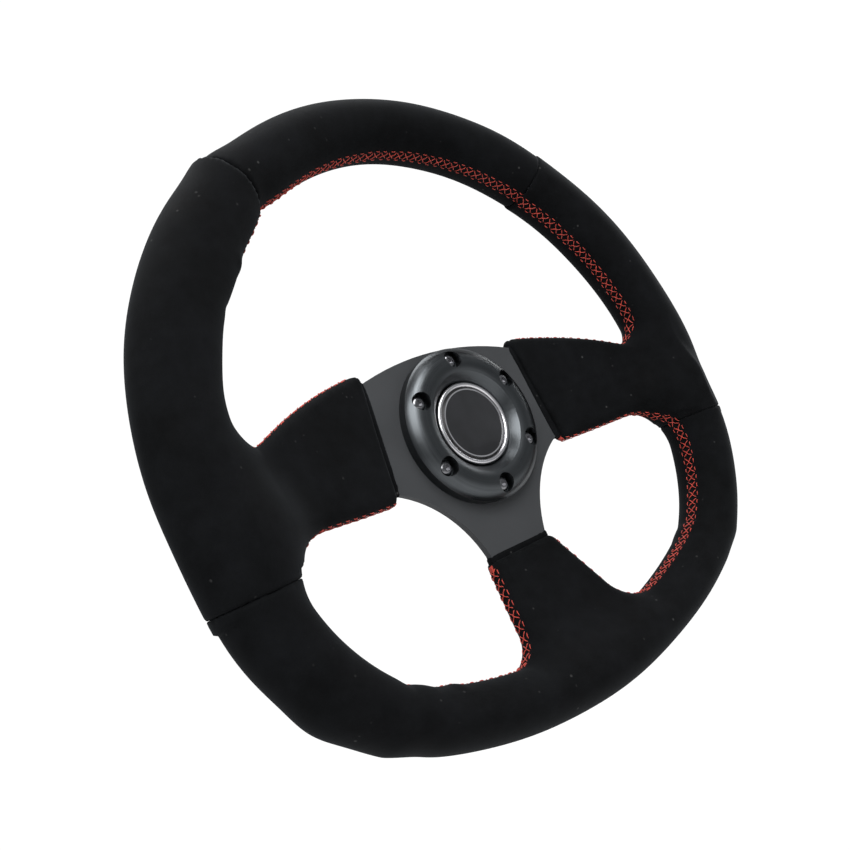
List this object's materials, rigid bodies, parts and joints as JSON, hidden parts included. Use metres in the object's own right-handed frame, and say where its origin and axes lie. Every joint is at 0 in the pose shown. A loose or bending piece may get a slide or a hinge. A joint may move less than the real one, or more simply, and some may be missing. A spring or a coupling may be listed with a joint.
{
  "type": "quick release steering wheel",
  "caption": "Flat-bottomed, suede-covered three-spoke steering wheel with a sprung horn button and a ball-lock quick-release hub behind the plate.",
  "frame": {"origin": "centre of the quick-release hub's mouth, where it seats on the column's hub", "axes": "+Y towards the steering column, -Y towards the driver, +Z to the top of the wheel, +X to the driver's right"},
  "size_m": [0.35, 0.0845, 0.3232],
  "materials": {
    "suede": "short napped suede",
    "foam": "moulded polyurethane foam",
    "plate": "matte dark grey powder coat",
    "bezel": "turned, black anodised",
    "screw": "black oxide",
    "trim": "satin bright",
    "emblem": "gloss black",
    "black_plastic": "moulded",
    "thread": "red-orange twisted thread",
    "steel": "ground",
    "spring_steel": "drawn wire and strip",
    "brass": "plain",
    "hub": "machined, dark anodised",
    "collar": "machined, clear anodised"
  },
  "bodies": {
    "wheel": {"spoke_frame": "plate", "rim_hoop": "steel", "foam_padding": "foam", "cover_top": "suede", "cover_left": "suede", "cover_right": "suede", "cover_bottom": "suede", "hem_left": "suede", "hem_right": "suede", "hem_bottom": "suede", "edge_stitching": "thread", "horn_bezel": "bezel", "bezel_screws": "screw", "horn_housing": "black_plastic", "horn_terminal_left": "brass", "horn_terminal_right": "brass", "horn_spring": "spring_steel", "hub_sleeve": "hub", "collar_circlip": "spring_steel", "collar_spring": "spring_steel"},
    "horn_button": {"horn_button_cap": "black_plastic", "horn_trim_ring": "trim", "emblem_ring": "trim", "horn_emblem": "emblem", "horn_contact_plate": "brass", "horn_snap_ring": "spring_steel"},
    "collar": {"release_collar": "collar"},
    "ball_1": {"lock_ball_1": "steel"},
    "ball_2": {"lock_ball_2": "steel"},
    "ball_3": {"lock_ball_3": "steel"},
    "ball_4": {"lock_ball_4": "steel"},
    "ball_5": {"lock_ball_5": "steel"},
    "ball_6": {"lock_ball_6": "steel"}
  },
  "joints": [
    {"name": "horn_press", "type": "slide", "parent": "wheel", "child": "horn_button", "axis": [0, 1, 0], "range_m": [0, 0.0015], "stiffness_N_per_m": 2500, "springref_m": -0.001, "deforming": ["horn_spring"]},
    {"name": "collar_slide", "type": "slide", "parent": "wheel", "child": "collar", "axis": [0, -1, 0], "range_m": [0, 0.006], "stiffness_N_per_m": 1500, "springref_m": -0.006, "deforming": ["collar_spring"]},
    {"name": "ball_1_slide", "type": "slide", "parent": "wheel", "child": "ball_1", "axis": [0, 0, 1], "range_m": [0, 0.0018]},
    {"name": "ball_2_slide", "type": "slide", "parent": "wheel", "child": "ball_2", "axis": [0.866, 0, 0.5], "range_m": [0, 0.0018]},
    {"name": "ball_3_slide", "type": "slide", "parent": "wheel", "child": "ball_3", "axis": [0.866, 0, -0.5], "range_m": [0, 0.0018]},
    {"name": "ball_4_slide", "type": "slide", "parent": "wheel", "child": "ball_4", "axis": [0, 0, -1], "range_m": [0, 0.0018]},
    {"name": "ball_5_slide", "type": "slide", "parent": "wheel", "child": "ball_5", "axis": [-0.866, 0, -0.5], "range_m": [0, 0.0018]},
    {"name": "ball_6_slide", "type": "slide", "parent": "wheel", "child": "ball_6", "axis": [-0.866, 0, 0.5], "range_m": [0, 0.0018]}
  ],
  "couplings": [
    {"joint": "ball_1_slide", "follows": "collar_slide", "ratio": 0.3},
    {"joint": "ball_2_slide", "follows": "collar_slide", "ratio": 0.3},
    {"joint": "ball_3_slide", "follows": "collar_slide", "ratio": 0.3},
    {"joint": "ball_4_slide", "follows": "collar_slide", "ratio": 0.3},
    {"joint": "ball_5_slide", "follows": "collar_slide", "ratio": 0.3},
    {"joint": "ball_6_slide", "follows": "collar_slide", "ratio": 0.3}
  ]
}
